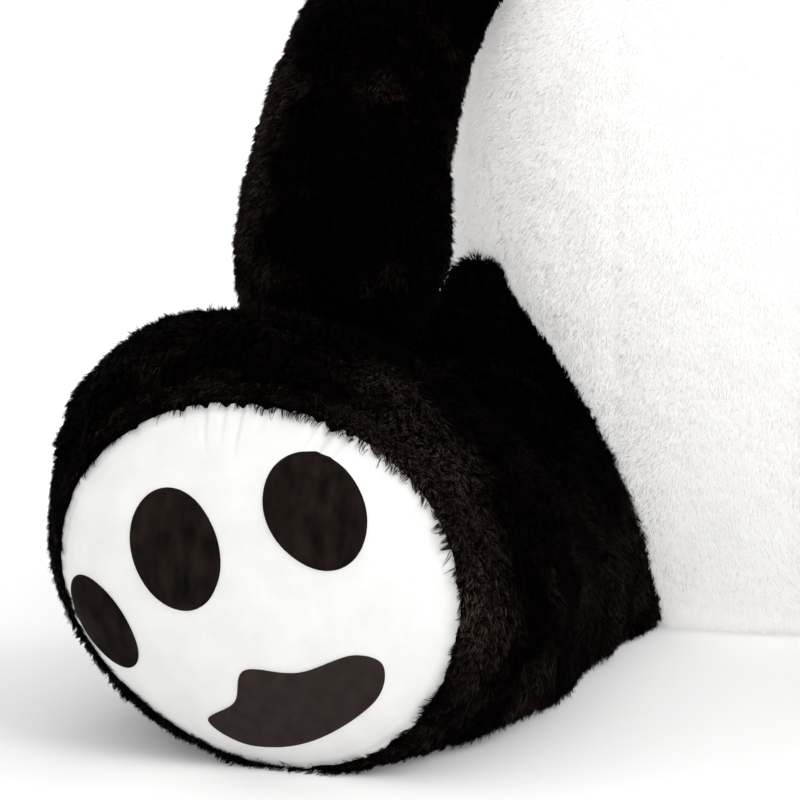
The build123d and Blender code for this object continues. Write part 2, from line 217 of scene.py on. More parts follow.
def mirrored(piece, name):
    """The left twin of a right piece."""
    mesh = piece.data.copy()
    points = coordinates(mesh)
    points[:, 0] *= -1
    set_coordinates(mesh, points)
    mesh.flip_normals()
    twin = bpy.data.objects.new(name, mesh)
    bpy.context.scene.collection.objects.link(twin)
    return twin


# ---------------------------------------------------------------- materials
def new_material(name):
    """An empty node material, its nodes, its links and its shader."""
    material = bpy.data.materials.new(name)
    material.use_nodes = True
    nodes, links = material.node_tree.nodes, material.node_tree.links
    return material, nodes, links, nodes["Principled BSDF"]


def varied_colour(nodes, links, shader, dark, light, size, detail=4.0, stretch=(1, 1, 1)):
    """Colour that drifts between two tones. Returns the mapping that its noise is laid out with."""
    place = nodes.new("ShaderNodeTexCoord")
    shape = nodes.new("ShaderNodeMapping")
    shape.inputs["Scale"].default_value = stretch
    noise = nodes.new("ShaderNodeTexNoise")
    noise.inputs["Scale"].default_value = 1 / size
    noise.inputs["Detail"].default_value = detail
    tones = nodes.new("ShaderNodeValToRGB")
    tones.color_ramp.elements[0].position = 0.3
    tones.color_ramp.elements[1].position = 0.7
    tones.color_ramp.elements[0].color = (*dark, 1)
    tones.color_ramp.elements[1].color = (*light, 1)
    links.new(place.outputs["Object"], shape.inputs["Vector"])
    links.new(shape.outputs["Vector"], noise.inputs["Vector"])
    links.new(noise.outputs["Fac"], tones.inputs["Fac"])
    links.new(tones.outputs["Color"], shader.inputs["Base Color"])
    return shape


def add_bump(nodes, links, shader, vector, size, height, strength=1.0, detail=3.0):
    """Fine relief from noise."""
    noise = nodes.new("ShaderNodeTexNoise")
    noise.inputs["Scale"].default_value = 1 / size
    noise.inputs["Detail"].default_value = detail
    bump = nodes.new("ShaderNodeBump")
    bump.inputs["Strength"].default_value = strength
    bump.inputs["Distance"].default_value = height
    links.new(vector, noise.inputs["Vector"])
    links.new(noise.outputs["Fac"], bump.inputs["Height"])
    links.new(bump.outputs["Normal"], shader.inputs["Normal"])


def fabric(name, dark, light, patch_size, nap_size, nap_height, sheen, sheen_tint, stretch=(1, 1, 1)):
    """Plush or sheared cloth: drifting tone, a nap in relief and a soft sheen."""
    material, nodes, links, shader = new_material(name)
    shape = varied_colour(nodes, links, shader, dark, light, patch_size, stretch=stretch)
    shader.inputs["Roughness"].default_value = 0.92
    shader.inputs["Specular IOR Level"].default_value = 0.04
    shader.inputs["Sheen Weight"].default_value = sheen
    shader.inputs["Sheen Roughness"].default_value = 0.45
    shader.inputs["Sheen Tint"].default_value = (*sheen_tint, 1)
    add_bump(nodes, links, shader, shape.outputs["Vector"], nap_size, nap_height)
    return material


def fibre(name, root, tip, roughness, specular, sheen, sheen_tint, painted_glow=0.0, shows_painted_sheen=False):
    """Pile fibre: a few strands run from the root colour to the tip colour, a painted sheen towards the tip,
    and where asked only as far as the fibres' painted-sheen attribute says.
    """
    material, nodes, links, shader = new_material(name)
    strand = nodes.new("ShaderNodeHairInfo")
    blend = nodes.new("ShaderNodeMix")
    blend.data_type = "RGBA"
    blend.inputs["A"].default_value = (*root, 1)
    blend.inputs["B"].default_value = (*tip, 1)
    scatter = nodes.new("ShaderNodeMath")
    scatter.operation = "MULTIPLY"
    rarely = nodes.new("ShaderNodeMath")
    rarely.operation = "POWER"
    rarely.inputs[1].default_value = 3.2
    links.new(strand.outputs["Random"], rarely.inputs[0])
    links.new(rarely.outputs["Value"], scatter.inputs[0])
    links.new(strand.outputs["Intercept"], scatter.inputs[1])
    share = scatter.outputs["Value"]
    # Painted sheen: the fibres' painted-sheen attribute scales how far the tips take the tip colour.
    if shows_painted_sheen:
        painted_sheen_share = nodes.new("ShaderNodeAttribute")
        painted_sheen_share.attribute_name = "painted_sheen"
        both = nodes.new("ShaderNodeMath")
        both.operation = "MULTIPLY"
        links.new(painted_sheen_share.outputs["Fac"], both.inputs[0])
        links.new(share, both.inputs[1])
        share = both.outputs["Value"]
    links.new(share, blend.inputs["Factor"])
    links.new(blend.outputs["Result"], shader.inputs["Base Color"])
    shader.inputs["Roughness"].default_value = roughness
    shader.inputs["Specular IOR Level"].default_value = specular
    shader.inputs["Specular Tint"].default_value = (*sheen_tint, 1)
    # Painted light: the fibre glows by the given strength, standing in for light scattered among fibres.
    shader.inputs["Emission Color"].default_value = (1, 1, 1, 1)
    shader.inputs["Emission Strength"].default_value = painted_glow
    shader.inputs["Sheen Weight"].default_value = sheen
    shader.inputs["Sheen Tint"].default_value = (*sheen_tint, 1)
    return material


def plastic(name, dark, light, roughness, coat):
    """Moulded plastic with faint scuffs."""
    material, nodes, links, shader = new_material(name)
    shape = varied_colour(nodes, links, shader, dark, light, 0.02)
    shader.inputs["Roughness"].default_value = roughness
    shader.inputs["Coat Weight"].default_value = coat
    shader.inputs["Coat Roughness"].default_value = 0.06
    add_bump(nodes, links, shader, shape.outputs["Vector"], 0.0015, 0.00002, detail=6.0)
    return material


def thread_material():
    """Satin thread with fine twist lines."""
    material, nodes, links, shader = new_material("embroidery_thread")
    shape = varied_colour(nodes, links, shader, (0.006, 0.005, 0.005), (0.02, 0.016, 0.016), 0.006)
    shader.inputs["Roughness"].default_value = 0.5
    shader.inputs["Sheen Weight"].default_value = 0.2
    wave = nodes.new("ShaderNodeTexWave")
    wave.inputs["Scale"].default_value = 350.0
    wave.inputs["Distortion"].default_value = 1.5
    bump = nodes.new("ShaderNodeBump")
    bump.inputs["Distance"].default_value = 0.0004
    links.new(shape.outputs["Vector"], wave.inputs["Vector"])
    links.new(wave.outputs["Fac"], bump.inputs["Height"])
    links.new(bump.outputs["Normal"], shader.inputs["Normal"])
    return material


WHITE_BACKING = fabric(
    "white_plush_backing", (0.88, 0.875, 0.86), (0.95, 0.945, 0.935), patch_size=0.05,
    nap_size=0.0022, nap_height=0.0012, sheen=0.2, sheen_tint=(1, 1, 1),
)
BLACK_BACKING = fabric(
    "black_plush_backing", (0.0006, 0.0003, 0.0003), (0.0016, 0.0009, 0.0008), patch_size=0.04,
    nap_size=0.0022, nap_height=0.0012, sheen=0.01, sheen_tint=(0.5, 0.35, 0.3),
)
SOLE_CLOTH = fabric(
    "sheared_sole_cloth", (0.68, 0.677, 0.670), (0.73, 0.727, 0.720), patch_size=0.03,
    nap_size=0.0009, nap_height=0.0003, sheen=0.1, sheen_tint=(1, 1, 1),
)
TOE_CLOTH = fabric(
    "toe_pad_velvet", (0.0028, 0.0018, 0.0014), (0.0135, 0.0088, 0.0070), patch_size=0.015,
    nap_size=0.0009, nap_height=0.0003, sheen=0.02, sheen_tint=(0.7, 0.6, 0.55), stretch=(1.3, 1.3, 0.6),
)
PAD_CLOTH = fabric(
    "main_pad_suede", (0.019, 0.014, 0.012), (0.029, 0.021, 0.019), patch_size=0.012,
    nap_size=0.0008, nap_height=0.0003, sheen=0.03, sheen_tint=(0.8, 0.7, 0.65),
)
# The torso's white pile and the head's are one white: the torso's glows more and is a little lighter, painted
# light.
WHITE_FIBRE = fibre(
    "white_pile_fibre", (0.92, 0.91, 0.905), (0.955, 0.948, 0.94), roughness=0.6, specular=0.03,
    sheen=0.05, sheen_tint=(1, 1, 1), painted_glow=0.14,
)
HEAD_FIBRE = fibre(
    "head_pile_fibre", (0.89, 0.883, 0.875), (0.935, 0.93, 0.92), roughness=0.6, specular=0.03,
    sheen=0.05, sheen_tint=(1, 1, 1), painted_glow=0.085,
)
# Black fibres: brown tips, painted sheen, where the painted-sheen attribute is high.
BLACK_FIBRE = fibre(
    "black_pile_fibre", (0.0002, 0.0001, 0.0001), (0.20, 0.138, 0.112), roughness=0.4, specular=0.02,
    sheen=0.01, sheen_tint=(0.7, 0.35, 0.25), shows_painted_sheen=True,
)
# Collar fibres: brown tips in a few strands all along the sole's seam, painted sheen.
RIM_FIBRE = fibre(
    "rim_pile_fibre", (0.0003, 0.00015, 0.00015), (0.065, 0.045, 0.037), roughness=0.4, specular=0.03,
    sheen=0.01, sheen_tint=(0.7, 0.4, 0.3),
)
GLOSSY_BLACK = plastic("polished_black_plastic", (0.004, 0.004, 0.004), (0.012, 0.011, 0.011), 0.18, 0.8)
WASHER_WHITE = plastic("washer_plastic_white", (0.78, 0.78, 0.76), (0.86, 0.86, 0.84), 0.45, 0.0)
THREAD = thread_material()


# ---------------------------------------------------------------- stuffed skins
def body_mesh(name, node, voxel):
    """A copy of a CAD solid as one evenly meshed closed surface."""
    piece = bpy.data.objects.new(name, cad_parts[node].data.copy())
    bpy.context.scene.collection.objects.link(piece)
    even = piece.modifiers.new("even", "REMESH")
    even.mode = "VOXEL"
    even.voxel_size = voxel
    even.use_smooth_shade = True
    settle(piece)
    keep_outside(piece.data)
    return piece


def keep_outside(mesh):
    """Deletes every island of a mesh but the largest, so that no hidden pocket stays."""
    work = bmesh.new()
    work.from_mesh(mesh)
    work.verts.ensure_lookup_table()
    seen, largest = set(), []
    for start in work.verts:
        if start in seen:
            continue
        island, edge_of_search = [start], [start]
        seen.add(start)
        while edge_of_search:
            for edge in edge_of_search.pop().link_edges:
                for vertex in edge.verts:
                    if vertex not in seen:
                        seen.add(vertex)
                        island.append(vertex)
                        edge_of_search.append(vertex)
        if len(island) > len(largest):
            largest = island
    kept = set(largest)
    bmesh.ops.delete(work, geom=[v for v in work.verts if v not in kept], context="VERTS")
    work.to_mesh(mesh)
    work.free()


def stuff(piece, seam_distance, cap):
    """Blows a skin up against its sewn seams by cloth simulation, and keeps each point within cap."""
    start = coordinates(piece.data)
    sewn = piece.vertex_groups.new(name="sewn")
    held = np.flatnonzero(seam_distance(start) < 0.7 * VOXEL)
    sewn.add([int(i) for i in held], 1.0, "REPLACE")
    cloth = piece.modifiers.new("stuffing", "CLOTH")
    cloth.settings.quality = 4
    cloth.settings.mass = 0.25
    cloth.settings.bending_stiffness = 0.4
    cloth.settings.use_pressure = True
    cloth.settings.uniform_pressure_force = CLOTH_PRESSURE
    cloth.settings.vertex_group_mass = "sewn"
    cloth.settings.effector_weights.gravity = 0
    cloth.collision_settings.use_collision = False
    cloth.point_cache.frame_start = 1
    cloth.point_cache.frame_end = CLOTH_FRAMES
    for step in range(1, CLOTH_FRAMES + 1):
        bpy.context.scene.frame_set(step)
    graph = bpy.context.evaluated_depsgraph_get()
    blown = coordinates(piece.evaluated_get(graph).data)
    piece.modifiers.clear()
    piece.vertex_groups.clear()
    bpy.context.scene.frame_set(1)
    move = blown - start
    reach = np.linalg.norm(move, axis=1, keepdims=True)
    move *= np.minimum(1, cap / np.maximum(reach, 1e-9))
    outward = normals(piece.data)
    swelling = np.median((move * outward).sum(axis=1))
    set_coordinates(piece.data, start + move - swelling * outward)


def subdivide(piece):
    """One smooth subdivision."""
    finer = piece.modifiers.new("finer", "SUBSURF")
    finer.levels = finer.render_levels = 1
    settle(piece)


def tailor(piece, seam_distance, lumps, seed):
    """Adds what stuffing and sewing do: soft lumps, combed pile, seam grooves and puckers beside them."""
    mesh = piece.data
    points = coordinates(mesh)
    outward = normals(mesh)
    beside = seam_distance(points)
    lift = SKIN_RISE + lumps * grain(points, LUMP_SIZE, seed)
    lift += 0.4 * lumps * grain(points, SMALL_LUMP_SIZE, seed + 1)
    lift += NAP_HEIGHT * grain(points * (1, 1, 0.45), NAP_SIZE, seed + 2)
    pucker = hump(beside, 0, PUCKER_REACH) * grain(points, PUCKER_SIZE, seed + 3)
    lift += PUCKER_HEIGHT * pucker - SEAM_DEPTH * hump(beside, 0, SEAM_WIDTH)
    points += outward * lift[:, None]
    points[:, 2] = np.maximum(points[:, 2], FLOOR_CLEARANCE)
    set_coordinates(mesh, points)
    mesh.shade_smooth()


def skin(name, node, seam_distance, material, seed, voxel=VOXEL, cap=0.005, lumps=LUMPS):
    """A stuffed skin made from a filling: remeshed, blown up, subdivided and tailored."""
    piece = body_mesh(name, node, voxel)
    stuff(piece, seam_distance, cap)
    subdivide(piece)
    tailor(piece, seam_distance, lumps, seed)
    piece.data.materials.clear()
    piece.data.materials.append(material)
    return piece


def torso_seams(points):
    """Distance to the nearest seam of the torso."""
    x, y, z = points.T
    in_front = y < SIDE_SEAM_Y
    below_yoke = z < YOKE_HEIGHT
    middle = np.where(below_yoke, np.abs(x), 1)
    belly = np.where(in_front & below_yoke, np.abs(np.abs(x) - BELLY_SEAM_X), 1)
    side = np.abs(y - SIDE_SEAM_Y)
    yoke = np.abs(z - YOKE_HEIGHT)
    seat = np.abs(z - SEAT_HEIGHT)
    return np.minimum.reduce([middle, belly, side, yoke, seat])


def head_seams(points):
    """Distance to the nearest seam of the head."""
    x, y, _ = points.T
    in_front = y < HEAD_SEAM_Y
    gusset = np.where(in_front, np.abs(np.abs(x) - GUSSET_SEAM_X), 1)
    back = np.where(in_front, 1, np.abs(x))
    return np.minimum.reduce([gusset, back, np.abs(y - HEAD_SEAM_Y)])


def no_seams(points):
    """A place far from every seam."""
    return np.ones(len(points))


def arm_seams(points):
    """Distance to the seams along the inside and the outside of the right arm."""
    slope = np.subtract(PAW_TIP, SHOULDER)
    across = unit(np.cross((1.0, 0, 0), slope))
    return np.abs((points - SHOULDER) @ across)


def ear_seams(points):
    """Distance to the seam round the rim of an ear."""
    return np.abs(points[:, 1] - EAR_ROOT[1])


def leg_seams(points):
    """Distance to the seam along the top and the bottom of the right leg."""
    return np.abs((points - HIP) @ LEG_ACROSS - LEG_SEAM_SHIFT)


# ---------------------------------------------------------------- pile
def scatter(mesh, count, draw):
    """Random places all over a mesh, and the normals there."""
    points = coordinates(mesh)
    outward = normals(mesh)
    mesh.calc_loop_triangles()
    corners = np.empty(len(mesh.loop_triangles) * 3, np.int32)
    mesh.loop_triangles.foreach_get("vertices", corners)
    corners = corners.reshape(-1, 3)
    a, b, c = (points[corners[:, i]] for i in range(3))
    area = np.linalg.norm(np.cross(b - a, c - a), axis=1)
    chosen = draw.choice(len(area), count, p=area / area.sum())
    u, v = draw.random((2, count))
    folded = u + v > 1
    u[folded], v[folded] = 1 - u[folded], 1 - v[folded]
    shares = np.stack([1 - u - v, u, v], axis=1)[..., None]
    root = (points[corners[chosen]] * shares).sum(axis=1)
    normal = unit((outward[corners[chosen]] * shares).sum(axis=1))
    return root, normal


def gathered(tip, normal, clump, tufting, seed):
    """Fibre tips drawn sideways into tufts about clump across. tufting is how much of the way they go."""
    wander = np.stack([grain(tip, 1.7 * clump, seed + 20 + axis) for axis in range(3)], axis=1)
    cell = np.floor((tip + 0.8 * clump * wander) / clump).astype(np.int64)
    middle = (cell + 0.5) * clump - 0.8 * clump * wander
    for axis in range(3):
        middle[:, axis] += 0.5 * clump * lattice(cell, seed + axis)
    middle -= normal * ((middle - tip) * normal).sum(axis=1, keepdims=True)
    return tip + tufting * (middle - tip)


def fibre_object(name, parent, strands, radius, painted_sheen_share, material):
    """Hair curves of three points each that move with their skin. The given share of painted sheen is 1 where
    a fibre takes it fully.
    """
    fibres = bpy.data.hair_curves.new(name)
    fibres.add_curves([3] * len(strands))
    fibres.attributes["position"].data.foreach_set("vector", strands.astype(np.float32).ravel())
    widths = np.tile(np.array(FIBRE_TAPER) * radius, len(strands)).astype(np.float32)
    fibres.attributes.new("radius", "FLOAT", "POINT").data.foreach_set("value", widths)
    painted_sheen_share = np.repeat(np.clip(painted_sheen_share, 0, 1), 3).astype(np.float32)
    fibres.attributes.new("painted_sheen", "FLOAT", "POINT").data.foreach_set("value", painted_sheen_share)
    fibres.materials.append(material)
    pile = bpy.data.objects.new(name, fibres)
    bpy.context.scene.collection.objects.link(pile)
    pile.parent = parent
    return pile


def plant(
    name, piece, length, material, comb, count, radius, seed, lift=0.55, keep=None, clump=0.009, tufting=0.6,
    ruffle=0.3, longer=None, painted_sheen=None,
):
    """Pile on a skin: fibres that rise from it, lean the way they are combed and gather in small tufts."""
    draw = np.random.default_rng(seed)
    root, normal = scatter(piece.data, count, draw)
    if keep is not None:
        kept = keep(root, normal)
        root, normal = root[kept], normal[kept]
    total = len(root)
    way = comb(root, normal)
    way = way - normal * (way * normal).sum(axis=1, keepdims=True)
    way = unit(way + FIBRE_STRAY * draw.normal(size=(total, 3)))
    reach = (length * draw.uniform(*FIBRE_LENGTHS, total))[:, None]
    reach *= 1 + ruffle * grain(root, RUFFLE_SIZE, seed + 7)[:, None]
    if longer is not None:
        reach *= longer(root)[:, None]
    way = unit(way + COMB_SWIRL * np.cross(normal, way) * grain(root, SWIRL_SIZE, seed + 8)[:, None])
    stand = np.clip(lift + ruffle * grain(root, STAND_SIZE, seed + 9), 0.1, 0.95)[:, None]
    tip = root + reach * (stand * normal + np.sqrt(1 - stand * stand) * way)
    tip = gathered(tip, normal, clump, tufting, seed)
    elbow = 0.5 * (root + tip) + FIBRE_ARCH * reach * normal
    strands = np.stack([root - ROOT_DEPTH * normal, elbow, tip], axis=1)
    strands[..., 2] = np.maximum(strands[..., 2], FLOOR_CLEARANCE)
    # Painted sheen for black fibres: random patches, plus what the given placing adds.
    painted_sheen_share = 0.3 * grain(root, 0.05, seed + 31) + 0.25 * grain(root, 0.014, seed + 32)
    if painted_sheen is not None:
        painted_sheen_share += painted_sheen(root, normal)
    return fibre_object(name, piece, strands, radius, painted_sheen_share, material)


def comb_down(root, normal):
    """Downward, as on the body."""
    return np.tile((0.0, 0.0, -1.0), (len(root), 1))


def comb_belly(root, normal):
    """Downward, swept a little to one side and the other in slow swirls."""
    sweep = 0.55 * grain(root, 0.09, 41) + 0.35 * grain(root, 0.035, 42)
    return np.stack([sweep, 0 * sweep, 0.35 * np.abs(sweep) - 1], axis=1)


def comb_from_face(root, normal):
    """Away from the muzzle, over the head and down its back."""
    return unit(root - MUZZLE_CENTRE) + (0, 0.3, -0.25)


def comb_arm(root, normal):
    """Along the arm towards the paw."""
    return np.tile(unit(np.subtract(PAW_TIP, SHOULDER)), (len(root), 1))


def comb_ear(root, normal):
    """Outward from the ear's root."""
    return unit(root - EAR_ROOT)


def comb_leg(root, normal):
    """Forward along the leg and down its sides."""
    near_sole = ramp((root - HIP) @ LEG_FORWARD, 0.40, SOLE_DISTANCE)
    return LEG_FORWARD * (0.45 + 1.1 * near_sole)[:, None] + (0.0, 0.0, -0.75)


def comb_tail(root, normal):
    """Backward and down."""
    return np.tile((0.0, 1.0, -0.4), (len(root), 1))


# ---------------------------------------------------------------- sole
def dome_rise(size):
    """How far the sole stands out, as a share of its bulge, at a share of its radius."""
    size = np.clip(size, 0, 1)
    rises = np.interp(size, DOME_SIZES, DOME_RISES)
    for offset in (-0.05, 0.05):
        rises = rises + np.interp(np.clip(size + offset, 0, 1), DOME_SIZES, DOME_RISES)
    return np.where(size > 0.95, np.interp(size, DOME_SIZES, DOME_RISES), rises / 3)


def oval_place(x, y):
    """A place on the sole's plane as its share of the radius and its angle on the oval."""
    turned_x = (x - SOLE_MIDDLE[0]) * math.cos(SOLE_TILT) + (y - SOLE_MIDDLE[1]) * math.sin(SOLE_TILT)
    turned_y = (y - SOLE_MIDDLE[1]) * math.cos(SOLE_TILT) - (x - SOLE_MIDDLE[0]) * math.sin(SOLE_TILT)
    across, up = turned_x / SOLE_RADII[0], turned_y / SOLE_RADII[1]
    return np.hypot(across, up), np.arctan2(up, across)


def oval_point(size, angle):
    """The place on the sole's plane of a share of the radius and an angle."""
    across, up = SOLE_RADII[0] * size * np.cos(angle), SOLE_RADII[1] * size * np.sin(angle)
    x = SOLE_MIDDLE[0] + across * math.cos(SOLE_TILT) - up * math.sin(SOLE_TILT)
    y = SOLE_MIDDLE[1] + across * math.sin(SOLE_TILT) + up * math.cos(SOLE_TILT)
    return x, y


# Puckers in the sole by its seam: (angle and half width in degrees, share of radius they reach in, depth)
PUCKERS = (
    # Deep ones over the inner toe pad
    (75, 1.1, 0.30, 0.0026),
    (79.5, 1.5, 0.34, 0.0060),
    (84, 1.1, 0.28, 0.0026),
    (60, 1.4, 0.12, 0.0020),
    # At the top of the foot
    (99, 1.2, 0.20, 0.0030),
    (106, 1.0, 0.34, 0.0042),
    (111, 0.9, 0.26, 0.0034),
    (117, 1.1, 0.30, 0.0038),
    (124, 1.0, 0.14, 0.0026),
    (140, 1.3, 0.12, 0.0022),
    # Faint ones at the inner side and low down
    (22, 1.6, 0.08, 0.0016),
    (33, 1.6, 0.09, 0.0018),
    (45, 1.5, 0.10, 0.0018),
    (205, 2.0, 0.10, 0.0016),
    (222, 2.2, 0.12, 0.0018),
    (238, 2.0, 0.10, 0.0016),
    (300, 2.0, 0.08, 0.0014),
    (325, 2.0, 0.09, 0.0014),
)


def sole_relief(x, y):
    """How far the sole's cloth stands off the plain dome: soft lumps, and puckers by the seam."""
    size, angle = oval_place(x, y)
    flat = np.stack([x, y, np.zeros_like(x)], axis=1)
    relief = 0.0014 * grain(flat, 0.055, 31) + 0.0005 * grain(flat, 0.018, 32)
    degrees = np.degrees(angle) % 360
    for middle, half_width, reach, depth in PUCKERS:
        beside = (degrees - middle + 180) % 360 - 180
        fade = ramp(size, 1 - reach, 1.0)
        relief -= depth * hump(beside, 0, half_width) * fade
    ring = np.stack([np.cos(angle), np.sin(angle), np.zeros_like(x)], axis=1)
    relief += 0.0009 * grain(ring, 0.045, 33) * ramp(size, 0.90, 1.0)
    relief -= 0.0016 * hump(size, 0.965, 0.014) * ramp(-grain(ring, 0.5, 34), -0.2, 0.6)
    return relief


def trimmed(x, y, trims):
    """Places on the sole's plane moved towards or away from its middle. trims: (angle, half angle, share)."""
    angle = np.degrees(np.arctan2(y - SOLE_MIDDLE[1], x - SOLE_MIDDLE[0]))
    scale = np.ones_like(x)
    for middle, half_angle, share in trims:
        beside = (angle - middle + 180) % 360 - 180
        scale += share * hump(beside, 0, half_angle)
    return SOLE_MIDDLE[0] + (x - SOLE_MIDDLE[0]) * scale, SOLE_MIDDLE[1] + (y - SOLE_MIDDLE[1]) * scale


def sole_surface(x, y, out):
    """Points in space on the right sole, out in front of its cloth."""
    size, _ = oval_place(x, y)
    x, y = trimmed(x, y, SOLE_TRIMS)
    distance = SOLE_DISTANCE + dome_rise(size) * SOLE_BULGE + sole_relief(x, y) + out
    points = HIP + LEG_FORWARD * distance[:, None] + LEG_ACROSS * x[:, None]
    points[:, 2] = np.maximum(y, FLOOR_CLEARANCE)
    return points


def disc(name, rim_places, centre, out_at, rings, material, back):
    """A closed domed disc on the sole. rim_places are its outline; out_at gives its height at a share."""
    around = len(rim_places)
    shares = np.linspace(1, 0, rings + 1)[:-1] ** 0.85
    front = []
    for share in shares:
        places = centre + share * (rim_places - centre)
        front.append(sole_surface(places[:, 0], places[:, 1], np.full(around, out_at(share))))
    top = sole_surface(np.array(centre[:1]), np.array(centre[1:]), np.array([out_at(0)]))
    rim_back = front[0] - LEG_FORWARD * back
    points = np.concatenate([*front, top, rim_back, top - LEG_FORWARD * back])
    crown = len(shares) * around
    back_start = crown + 1
    back_middle = back_start + around
    faces = []
    for ring in range(len(shares) - 1):
        for i in range(around):
            j = (i + 1) % around
            here, inner = ring * around, (ring + 1) * around
            faces.append((here + i, here + j, inner + j, inner + i))
    last = (len(shares) - 1) * around
    for i in range(around):
        j = (i + 1) % around
        faces.append((last + i, last + j, crown))
        faces.append((j, i, back_start + i, back_start + j))
        faces.append((back_start + j, back_start + i, back_middle))
    return mesh_piece(name, points, faces, material)


def round_edge(thickness):
    """Height of a pad's face over the sole, rounded down at its edge."""
    return lambda share: thickness * math.sqrt(max(0.0, 1 - share**8))


def smooth_outline(corners, per_side):
    """A closed smooth line through corners."""
    corners = np.array(corners)
    line = []
    for i in range(len(corners)):
        before, here, after, beyond = (corners[(i + step) % len(corners)] for step in (-1, 0, 1, 2))
        for t in np.linspace(0, 1, per_side, endpoint=False):
            line.append(
                0.5 * (2 * here + (after - before) * t + (2 * before - 5 * here + 4 * after - beyond) * t**2
                       + (3 * here - before - 3 * after + beyond) * t**3)
            )
    return np.array(line)


def pad_outline(x, y, half_width, half_height, turn):
    """A turned oval on the sole's plane."""
    around = np.linspace(0, 2 * math.pi, 180, endpoint=False)
    across, up = half_width * np.cos(around), half_height * np.sin(around)
    turned_across = across * math.cos(turn) - up * math.sin(turn)
    turned_up = across * math.sin(turn) + up * math.cos(turn)
    return np.stack([x + turned_across, y + turned_up], axis=1)


def make_pad(name, outline, centre, material):
    """A thin pad sewn on the right sole."""
    return disc(name, outline, np.array(centre), round_edge(PAD_THICKNESS), 30, material, back=0.004)


def make_sole():
    """The white cloth sole of the right foot and its pads."""
    rim = np.stack(oval_point(SOLE_RIM, np.linspace(0, 2 * math.pi, 720, endpoint=False)), axis=1)
    middle = np.array(SOLE_MIDDLE)
    sole = disc("right_sole_cloth", rim, middle, lambda share: -SOLE_SINK, 80, SOLE_CLOTH, back=0.006)
    pieces = {"sole": sole}
    for pad, (x, y, half_width, half_height, turn) in TOE_PADS.items():
        outline = pad_outline(x, y, half_width, half_height, math.radians(turn))
        pieces[pad] = make_pad(f"right_{pad}_cloth", outline, (x, y), TOE_CLOTH)
    outline = smooth_outline(MAIN_PAD_OUTLINE, 24)
    pieces["main_pad"] = make_pad("right_main_pad_cloth", outline, MAIN_PAD_CENTRE, PAD_CLOTH)
    return pieces


# ---------------------------------------------------------------- the panda
def dress(piece, body, slot, *nodes, fill=None):
    """Makes a piece move with its body and hides the CAD solids that it stands for. Its finish, slot, is not
    used.
    """
    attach(piece, body)
    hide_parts(*nodes)


def below_yoke(root, normal):
    """White pile grows from just above the floor to the yoke's seam."""
    return (root[:, 2] > 0.001) & (root[:, 2] < YOKE_HEIGHT)


def above_yoke(root, normal):
    """Black pile grows on the shoulders."""
    return root[:, 2] >= YOKE_HEIGHT


def fringe_at_floor(root):
    """Pile is up to nearly twice as long by the floor, where it hangs free of the seat."""
    return 1 + 0.9 * (1 - ramp(root[:, 2], 0.01, 0.06))


torso = skin("torso_plush", "torso_filling", torso_seams, WHITE_BACKING, seed=1)
dress(
    torso, "torso", "white_plush", "torso_filling", "seat_panel", "front_shoulder_yoke", "back_shoulder_yoke",
    *[f"{side}_{panel}_panel" for side in ("right", "left") for panel in ("belly", "side", "back")], fill=0.9,
)
torso.data.materials.append(BLACK_BACKING)
for face in torso.data.polygons:
    if face.center.z > YOKE_HEIGHT:
        face.material_index = 1

plant(
    "torso_white_pile", torso, WHITE_PILE, WHITE_FIBRE, comb_belly, count=760000, radius=0.00024, seed=11,
    lift=0.42, clump=0.005, tufting=0.25, ruffle=0.14, keep=below_yoke, longer=fringe_at_floor,
)
plant(
    "torso_black_pile", torso, BLACK_PILE, BLACK_FIBRE, comb_down, count=420000, radius=0.00030, seed=12,
    keep=above_yoke,
)

head = skin("head_plush", "head_filling", head_seams, WHITE_BACKING, seed=2)
dress(
    head, "head", "white_plush", "head_filling", "face_gusset",
    *[f"{side}_{panel}_panel" for side in ("right", "left") for panel in ("cheek", "head_back")], fill=0.9,
)
plant(
    "head_pile", head, WHITE_PILE, HEAD_FIBRE, comb_from_face, count=480000, radius=0.00028, seed=13,
    lift=0.4, clump=0.0045, tufting=0.35, ruffle=0.2,
)

muzzle = skin(
    "muzzle_plush", "muzzle_filling", no_seams, WHITE_BACKING, seed=3,
    voxel=SMALL_VOXEL, cap=0.003, lumps=SMALL_LUMPS,
)
dress(muzzle, "head", "white_plush", "muzzle_filling", "muzzle_panel", fill=0.9)
plant(
    "muzzle_pile", muzzle, 0.6 * WHITE_PILE, HEAD_FIBRE, comb_from_face, count=90000, radius=0.00025, seed=14,
    lift=0.35, clump=0.004, tufting=0.3, ruffle=0.15,
)

tail = skin(
    "tail_plush", "tail_filling", no_seams, WHITE_BACKING, seed=4,
    voxel=SMALL_VOXEL, cap=0.004, lumps=SMALL_LUMPS,
)
dress(tail, "tail", "white_plush", "tail_filling", "tail_skin", fill=0.8)
plant(
    "tail_pile", tail, WHITE_PILE, WHITE_FIBRE, comb_tail, count=40000, radius=0.00028, seed=15,
    clump=0.005, tufting=0.4,
)


def shape_arm(mesh):
    """Swells the right arm's inner side beside the thigh and draws its outer side in."""
    points = coordinates(mesh)
    inward = normals(mesh)[:, 0]
    beside_thigh = hump(points[:, 2], THIGH_TOUCH_HEIGHT, THIGH_TOUCH_REACH) * np.clip(inward, 0, 1)
    points[:, 0] += ARM_FULLNESS * beside_thigh + ARM_TUCK * np.clip(-inward, 0, 1)
    set_coordinates(mesh, points)


arm = skin("right_arm_plush", "right_arm_filling", arm_seams, BLACK_BACKING, seed=5)
shape_arm(arm.data)
ear = skin(
    "right_ear_plush", "right_ear_filling", ear_seams, BLACK_BACKING, seed=6,
    voxel=SMALL_VOXEL, cap=0.004, lumps=SMALL_LUMPS,
)


